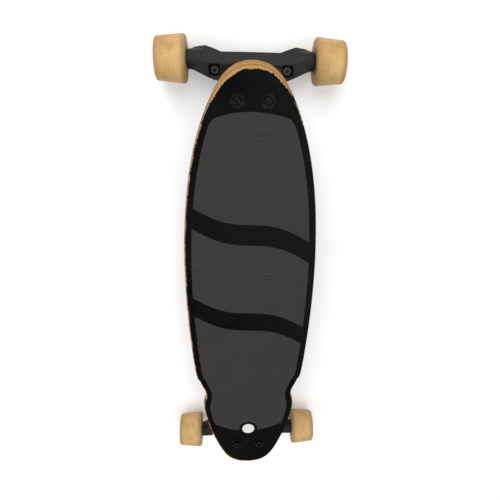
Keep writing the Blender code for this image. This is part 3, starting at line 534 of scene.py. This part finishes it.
def turned_mesh(name, profile, centre, axis, closed=True, steps=FASTENER_STEPS, mark=None, values=None):
    """A profile of (radius, distance, flats) carried round an axis. At angle t a point stands at
    centre + distance * axis + r * (cos t * side + sin t * up). Here r is the radius, or where flats
    is 1 the radius over the cosine of the angle to the nearest of six flats."""
    radius, distance, flats = (np.array(profile, float)[:, k, None] for k in range(3))
    axis = np.array(axis, float)
    side = np.array((0, 0, 1) if abs(axis[2]) < 0.9 else (1, 0, 0), float)
    side -= axis * (side @ axis)
    side /= np.linalg.norm(side)
    up = np.cross(axis, side)
    t = np.linspace(0, 2 * np.pi, steps, endpoint=False)[None, :]
    to_flat = t % (np.pi / 3) - np.pi / 6
    r = radius * np.where(flats > 0, 1 / np.cos(to_flat), 1.0)
    ways = np.cos(t)[..., None] * side + np.sin(t)[..., None] * up
    grid = np.array(centre) + distance[..., None] * axis + r[..., None] * ways
    if mark:
        values = np.broadcast_to(values[:, None], r.shape)
    return mesh_from_grid(name, grid, closed, mark, values)


def washer_profile(bore, radius, thickness):
    """Flat ring whose outer edge is eased by a fifth of its thickness."""
    ease = thickness / 5
    return ((bore, 0, 0), (radius - ease, 0, 0), (radius, ease, 0), (radius, thickness - ease, 0),
            (radius - ease, thickness, 0), (bore, thickness, 0))


zinc = plated("zinc_plated_steel", "#8e8d88", "#bcbab4", 0.28)
black_oxide = plated("black_oxide_steel", "#0f0f10", "#2a2928", 0.2)
JOINTS = {joint["name"]: joint for joint in frame["record"]["behaviour"]["joints"]}
for truck in ("front", "rear"):
    carrier = truck + "_hanger_body"
    for part in ("kingpin", "kingpin_nut", "axle", "axle_nut_left", "axle_nut_right"):
        dress(truck + "_" + part, zinc)
    steer = JOINTS[truck + "_steer"]
    lean = np.array(steer["axis"])
    up_pin = np.array((0, -np.sign(lean[1]) * lean[2], abs(lean[1])))
    for label, cup, way in (("board", BOARD_CUP, up_pin), ("road", ROAD_CUP, -up_pin)):
        inner, outer, radius, rim = cup
        bore = KINGPIN_RADIUS + SHAFT_CLEARANCE
        lip = radius - CUP_RIM
        cup_profile = ((bore, inner, 0), (lip, inner, 0), (lip, inner - rim, 0), (radius, inner - rim, 0),
                       (radius, outer, 0), (bore, outer, 0))
        show(turned_mesh(truck + "_" + label + "_cup_washer", cup_profile, steer["pos_m"], way), zinc,
             "board", "steel")
    for hand, end in (("left", -1), ("right", 1)):
        buffer_low, buffer_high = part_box(truck + "_stop_buffer_" + hand)
        spot = ((buffer_low[0] + buffer_high[0]) / 2, (buffer_low[1] + buffer_high[1]) / 2, buffer_high[2])
        head = ((0, 0, 0), (SCREW_HEAD_RADIUS, 0, 0), (SCREW_HEAD_RADIUS, 0.4 * SCREW_HEAD_HEIGHT, 0),
                (0.7 * SCREW_HEAD_RADIUS, 0.85 * SCREW_HEAD_HEIGHT, 0), (0, SCREW_HEAD_HEIGHT, 0))
        show(turned_mesh(truck + "_buffer_screw_" + hand, head, spot, (0, 0, 1), closed=False), black_oxide,
             carrier, "black_steel")
        for row in ("inner", "outer"):
            part = truck + "_" + hand + "_bearing_" + row
            dress(part, zinc)
            low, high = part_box(part)
            near, far = sorted((abs(low[0]), abs(high[0])))
            start = near - WASHER_SEAT - SPEED_WASHER_THICKNESS if row == "inner" else far + WASHER_SEAT
            profile = washer_profile(AXLE_RADIUS + SHAFT_CLEARANCE, SPEED_WASHER_RADIUS,
                                     SPEED_WASHER_THICKNESS)
            centre = (end * start, (low[1] + high[1]) / 2, (low[2] + high[2]) / 2)
            show(turned_mesh(truck + "_" + hand + "_speed_washer_" + row, profile, centre, (end, 0, 0)),
                 zinc, carrier, "steel")


# The bushings: two rings of brown cast urethane on each kingpin, one on either side of the hanger's
# ring, and squeezed against it by the kingpin's nut.
BUSHING_STEPS = 64
BUSHING_ROWS = 15
FAR_BORE = 5.0 * MM
RING_BORE = 6.6 * MM
# Outer radius by distance from the ring's middle, in millimetres, from the ring's end to the far end
BOARD_BARREL = ((5.3, 10.7), (6.3, 11.9), (8.3, 12.5), (18.3, 12.5), (19.3, 11.5))
ROAD_CONE = ((5.3, 11.5), (6.3, 12.5), (15.3, 10.0))


def bushing(name, outline, centre, way):
    """The outline read at even steps from the ring's end to the far end, and back along a bore that
    is wider at the ring's end, where the urethane leans against the kingpin as it turns."""
    distance, radius = np.array(outline, float).T * MM
    along = np.linspace(distance[0], distance[-1], BUSHING_ROWS)
    outside = np.c_[np.interp(along, distance, radius), along, 0 * along]
    bore = np.c_[np.linspace(FAR_BORE, RING_BORE, BUSHING_ROWS), along[::-1], 0 * along]
    return turned_mesh(name, np.concatenate([outside, bore]), centre, way, steps=BUSHING_STEPS)


for truck in ("front", "rear"):
    steer = JOINTS[truck + "_steer"]
    middle = np.array(steer["pos_m"])
    lean = np.array(steer["axis"])
    up_pin = np.array((0, -np.sign(lean[1]) * lean[2], abs(lean[1])))
    for label, outline, way in (("board", BOARD_BARREL, up_pin), ("road", ROAD_CONE, -up_pin)):
        part = truck + "_" + label + "_bushing"
        piece = show(bushing(part + "_urethane", outline, middle, way), brown_urethane, None, "bushing", part)
        far, near = (middle + way * outline[k][0] * MM for k in (-1, 0))
        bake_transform(piece)


# The deck bolts: black-oxide socket screws through deck, riser and baseplate, each held by a lock
# nut. The outer pairs have domed heads on wide washers, and the inner pairs are sunk under the grip.
HEAD_HEIGHT = 4.0 * MM
HEAD_RADIUS = 6.0 * MM
CROWN_RADIUS = 3.6 * MM
DOME_FALL = 2.6 * MM
SOCKET_FLAT = 2.2 * MM
SOCKET_DEPTH = 2.5 * MM
SHANK_RADIUS = 2.4 * MM
WIDE_WASHER_RADIUS = 10.5 * MM
WIDE_WASHER_THICKNESS = 1.0 * MM
NUT_ABOVE_TIP = 2.0 * MM
NUT_HEIGHT = 4.9 * MM
NUT_FLAT = 4.7 * MM
NUT_COLLAR = 3.9 * MM


def socket_screw(name, low, high):
    """From the socket's floor up its six flats, over the crown, down the dome on a quarter ellipse,
    under the head and down the shank to an eased tip."""
    crown = high[2]
    seat = crown - HEAD_HEIGHT
    floor_height = crown - SOCKET_DEPTH
    arc = np.linspace(0, np.pi / 2, 7)
    dome = [(CROWN_RADIUS + (HEAD_RADIUS - CROWN_RADIUS) * np.sin(a), crown - DOME_FALL * (1 - np.cos(a)), 0)
            for a in arc]
    profile = [(0, floor_height, 0), (SOCKET_FLAT, floor_height, 1), (SOCKET_FLAT, crown, 1)] + dome
    profile += [(HEAD_RADIUS, seat, 0), (SHANK_RADIUS, seat, 0), (SHANK_RADIUS, low[2] + 0.5 * MM, 0),
                (SHANK_RADIUS - 0.5 * MM, low[2], 0), (0, low[2], 0)]
    centre = ((low[0] + high[0]) / 2, (low[1] + high[1]) / 2, 0)
    return turned_mesh(name, profile, centre, (0, 0, 1), closed=False)


for truck in ("front", "rear"):
    for row in ("inner", "outer"):
        for hand in ("left", "right"):
            label = row + "_" + hand
            bolt = truck + "_bolt_" + label
            low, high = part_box(bolt)
            if row == "outer":
                show(socket_screw(truck + "_socket_screw_" + label, low, high), black_oxide, "board",
                     "black_steel", bolt)
                washer = truck + "_washer_" + label
                washer_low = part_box(washer)[0]
                centre = ((low[0] + high[0]) / 2, (low[1] + high[1]) / 2, washer_low[2])
                profile = washer_profile(SHANK_RADIUS + SHAFT_CLEARANCE, WIDE_WASHER_RADIUS,
                                         WIDE_WASHER_THICKNESS)
                show(turned_mesh(truck + "_wide_washer_" + label, profile, centre, (0, 0, 1)), black_oxide,
                     "board", "black_steel", washer)
            else:
                dress(bolt, black_oxide)
            nut_bore = SHANK_RADIUS + SHAFT_CLEARANCE
            nut_profile = ((nut_bore, 0, 0), (NUT_FLAT, 0, 1), (NUT_FLAT, 0.7 * NUT_HEIGHT, 1),
                           (NUT_COLLAR, 0.78 * NUT_HEIGHT, 0), (0.9 * NUT_COLLAR, NUT_HEIGHT, 0),
                           (nut_bore, NUT_HEIGHT, 0))
            plate_side = low[2] + NUT_ABOVE_TIP + NUT_HEIGHT
            centre = ((low[0] + high[0]) / 2, (low[1] + high[1]) / 2, plate_side)
            show(turned_mesh(truck + "_lock_nut_" + label, nut_profile, centre, (0, 0, -1)), zinc, "board",
                 "steel")


# The wheels: urethane poured round the hub cores, once cream and now tan with age. Each is wider at
# its inner lip, rubbed in rings by the road, brown at both lips, and spins on two bearings.
TYRE_LIP = 4.6 * MM
OUTER_DROP = 3.3 * MM
CORE_SEAT = 0.3 * MM
TYRE_STEPS = 128
RING_RUB = 1.1 * MM
RING_RUB_LENGTH = 40 * MM
AGE_CLOUD = 28 * MM
PIT = 3.8 * MM
RUB_RELIEF = 0.2 * MM


def aged_urethane():
    """Old poured urethane: waxy, a little translucent at thin lips, tan with darker rubbed rings and
    small brown pits where grit is bedded."""
    made, tree, shader, where = new_finish("aged_poured_urethane", {"Subsurface Weight": 0.06,
                                                                    "Subsurface Scale": 3 * MM,
                                                                    "Subsurface Radius": (1.0, 0.6, 0.3),
                                                                    "Specular IOR Level": 0.4})
    cloud = put(tree, "TexNoise", {"Vector": where, "Scale": 1 / AGE_CLOUD, "Detail": 5.0,
                                   "Roughness": 0.6})
    base = put(tree, "ValToRGB", {"Fac": cloud},
               stops=((0.28, "#b18c55"), (0.5, "#c9a267"), (0.75, "#dab77f")))
    rings = put(tree, "Mapping", {"Vector": where,
                                  "Scale": (1 / RING_RUB, 1 / RING_RUB_LENGTH, 1 / RING_RUB_LENGTH)})
    rub = put(tree, "TexNoise", {"Vector": rings, "Scale": 1.0, "Detail": 4.0, "Roughness": 0.6})
    dirt = put(tree, "MapRange", {"Value": rub, "From Min": 0.52, "From Max": 0.75, "To Max": 0.5})
    lip = put(tree, "Attribute", out="Fac", attribute_name="lip")
    lip_dirt = put(tree, "Math", {0: lip, 1: cloud}, operation="MULTIPLY")
    dirt = put(tree, "Math", {0: dirt, 1: lip_dirt}, operation="MAXIMUM")
    base = put(tree, "Mix", {0: dirt, 6: base, 7: linear("#8f6c3d")}, out=2, data_type="RGBA")
    pits = put(tree, "TexNoise", {"Vector": where, "Scale": 1 / PIT, "Detail": 3.0, "Roughness": 0.7})
    pits = put(tree, "MapRange", {"Value": pits, "From Min": 0.67, "From Max": 0.72, "To Max": 0.7})
    colour = put(tree, "Mix", {0: pits, 6: base, 7: linear("#5d4526")}, out=2, data_type="RGBA")
    tree.links.new(colour, shader.inputs["Base Color"])
    rough = put(tree, "MapRange", {"Value": cloud, "From Min": 0.2, "From Max": 0.8, "To Min": 0.4,
                                   "To Max": 0.62})
    tree.links.new(rough, shader.inputs["Roughness"])
    skin = put(tree, "Bump", {"Height": rub, "Distance": RUB_RELIEF, "Strength": 0.5})
    tree.links.new(skin, shader.inputs["Normal"])
    return made


def tyre(name, low, high, end, core_radius):
    """From the outer face round a quarter-circle lip, down the coned tread to the inner lip, across the
    inner face and back through the bore. The mark is 1 on both lips and falls off along the tread."""
    radius = (high[2] - low[2]) / 2
    inside, outside = sorted((abs(low[0]), abs(high[0])))
    bore = core_radius + CORE_SEAT
    arc = np.linspace(0, np.pi / 2, 7)
    outer_lip = np.c_[radius - OUTER_DROP - TYRE_LIP * (1 - np.sin(arc)),
                      outside - TYRE_LIP * (1 - np.cos(arc)), 0 * arc]
    inner_lip = np.c_[radius - TYRE_LIP * (1 - np.cos(arc)), inside + TYRE_LIP * (1 - np.sin(arc)), 0 * arc]
    share = np.linspace(0, 1, 14)[1:-1, None]
    tread = outer_lip[-1] * (1 - share) + inner_lip[0] * share
    faces = np.array(((bore + 5 * MM, inside, 0), (bore + 1.5 * MM, inside + 1.2 * MM, 0),
                      (bore, inside + 2.5 * MM, 0), (bore, outside - 6 * MM, 0),
                      (bore + 0.8 * MM, outside - 3 * MM, 0), (bore + 3 * MM, outside - 1 * MM, 0)))
    profile = np.concatenate([outer_lip, tread, inner_lip, faces])
    near_lip = (2 * np.abs(share[:, 0] - 0.5)) ** 6
    lips = np.concatenate([np.ones(len(arc)), near_lip, np.ones(len(arc)), np.full(len(faces), 0.5)])
    centre = (0, (low[1] + high[1]) / 2, (low[2] + high[2]) / 2)
    return turned_mesh(name, profile, centre, (end, 0, 0), steps=TYRE_STEPS, mark="lip", values=lips)


urethane = aged_urethane()
for truck in ("front", "rear"):
    for hand, end in (("left", -1), ("right", 1)):
        wheel = truck + "_" + hand
        low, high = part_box(wheel + "_tyre")
        core_low, core_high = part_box(wheel + "_core")
        core_radius = (core_high[1] - core_low[1]) / 2
        show(tyre(wheel + "_urethane", low, high, end, core_radius), urethane, wheel + "_wheel", "urethane",
             wheel + "_tyre")
